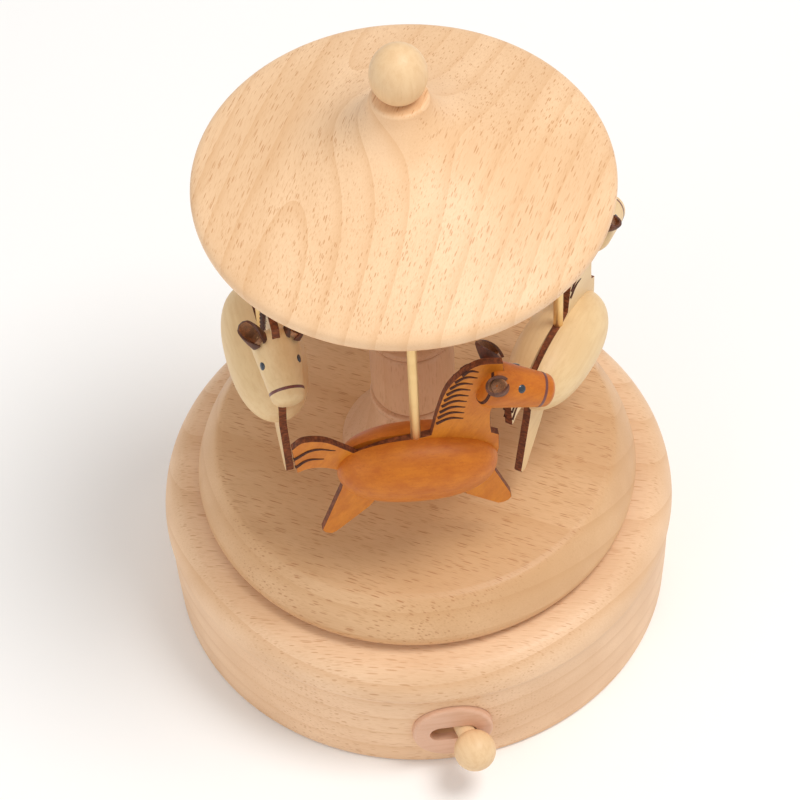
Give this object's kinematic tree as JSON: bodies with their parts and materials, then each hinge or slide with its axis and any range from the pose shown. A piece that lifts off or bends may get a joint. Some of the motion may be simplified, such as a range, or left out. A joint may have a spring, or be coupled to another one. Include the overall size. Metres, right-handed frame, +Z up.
{
  "type": "carousel music box",
  "caption": "Wooden wind-up carousel music box: horses on brass rods hang from a conical roof on a turning column and platform; switch lever on the round base.",
  "frame": {"origin": "on the table, under the centre of the turned base", "axes": "+Z up along the turning axis, -Y towards the switch lever, +X to the right seen from the switch"},
  "size_m": [0.11, 0.1191, 0.1617],
  "materials": {
    "beech_base": "satin lacquered beech",
    "beech_table": "satin lacquered beech",
    "beech_column": "satin lacquered beech",
    "beech_roof": "satin lacquered beech",
    "pale_knob": "satin lacquered maple",
    "switch_wood": "satin lacquered pear wood",
    "plywood": "sanded plywood",
    "stained_ply": "orange-brown stained plywood, burnt edges",
    "stained_wood": "orange-brown stained turned wood, satin",
    "cream_ply": "natural plywood, burnt edges",
    "cream_wood": "natural turned wood, satin",
    "leather": "dark brown, smooth",
    "rod_brass": "satin",
    "movement_brass": "satin",
    "zinc": "cast, matt",
    "steel": "brushed",
    "spring_steel": "blued"
  },
  "bodies": {
    "base": {"base_body": "beech_base", "bottom_cover": "plywood", "cover_screws": "steel", "switch_plate": "switch_wood", "lever_pivot_pin": "movement_brass", "movement_bedplate": "zinc", "bedplate_screws": "steel", "shaft_bushing": "movement_brass", "arbor_bracket_inner": "movement_brass", "arbor_bracket_outer": "movement_brass", "governor_bracket": "movement_brass", "spring_housing": "zinc", "housing_pillars": "movement_brass", "mainspring": "spring_steel", "comb": "steel", "comb_block": "zinc", "comb_screws": "steel"},
    "carousel": {"turntable": "beech_table", "column": "beech_column", "roof": "beech_roof", "finial": "pale_knob", "finial_peg": "pale_knob", "output_shaft": "steel", "crown_wheel": "movement_brass", "horse_1_core": "stained_ply", "horse_1_body_left": "stained_wood", "horse_1_body_right": "stained_wood", "horse_1_head": "stained_wood", "horse_1_ears": "leather", "horse_1_rod": "rod_brass", "horse_2_core": "cream_ply", "horse_2_body_left": "cream_wood", "horse_2_body_right": "cream_wood", "horse_2_head": "cream_wood", "horse_2_ears": "leather", "horse_2_rod": "rod_brass", "horse_3_core": "cream_ply", "horse_3_body_left": "cream_wood", "horse_3_body_right": "cream_wood", "horse_3_head": "cream_wood", "horse_3_ears": "leather", "horse_3_rod": "rod_brass", "horse_4_core": "cream_ply", "horse_4_body_left": "cream_wood", "horse_4_body_right": "cream_wood", "horse_4_head": "cream_wood", "horse_4_ears": "leather", "horse_4_rod": "rod_brass"},
    "drum": {"drum": "movement_brass", "drum_arbor": "steel", "drum_ring_gear": "movement_brass"},
    "governor": {"governor_arbor": "steel", "worm_wheel": "movement_brass"},
    "air_brake": {"worm_spindle": "steel", "air_brake_fan": "movement_brass"},
    "switch_lever": {"lever_dowel": "pale_knob", "lever_knob": "pale_knob", "stop_wire": "steel"}
  },
  "joints": [
    {"name": "carousel_spin", "type": "hinge", "parent": "base", "child": "carousel", "pos_m": [0, 0, 0.0328], "axis": [0, 0, 1], "continuous": true},
    {"name": "drum_spin", "type": "hinge", "parent": "base", "child": "drum", "pos_m": [0.01636, -0.02021, 0.0177], "axis": [0.6293, -0.7771, 0], "continuous": true},
    {"name": "governor_spin", "type": "hinge", "parent": "base", "child": "governor", "pos_m": [0.01363, -0.02756, 0.0177], "axis": [0.6293, -0.7771, 0], "continuous": true},
    {"name": "air_brake_spin", "type": "hinge", "parent": "base", "child": "air_brake", "pos_m": [0.01429, -0.03552, 0.012], "axis": [0, 0, 1], "continuous": true},
    {"name": "switch_swing", "type": "hinge", "parent": "base", "child": "switch_lever", "pos_m": [0.00401, -0.04492, 0.013], "axis": [0, 0, 1], "range_deg": [-28.8, 0]}
  ],
  "couplings": [
    {"joint": "drum_spin", "follows": "carousel_spin", "ratio": -4},
    {"joint": "governor_spin", "follows": "carousel_spin", "ratio": 16},
    {"joint": "air_brake_spin", "follows": "carousel_spin", "ratio": 384}
  ]
}
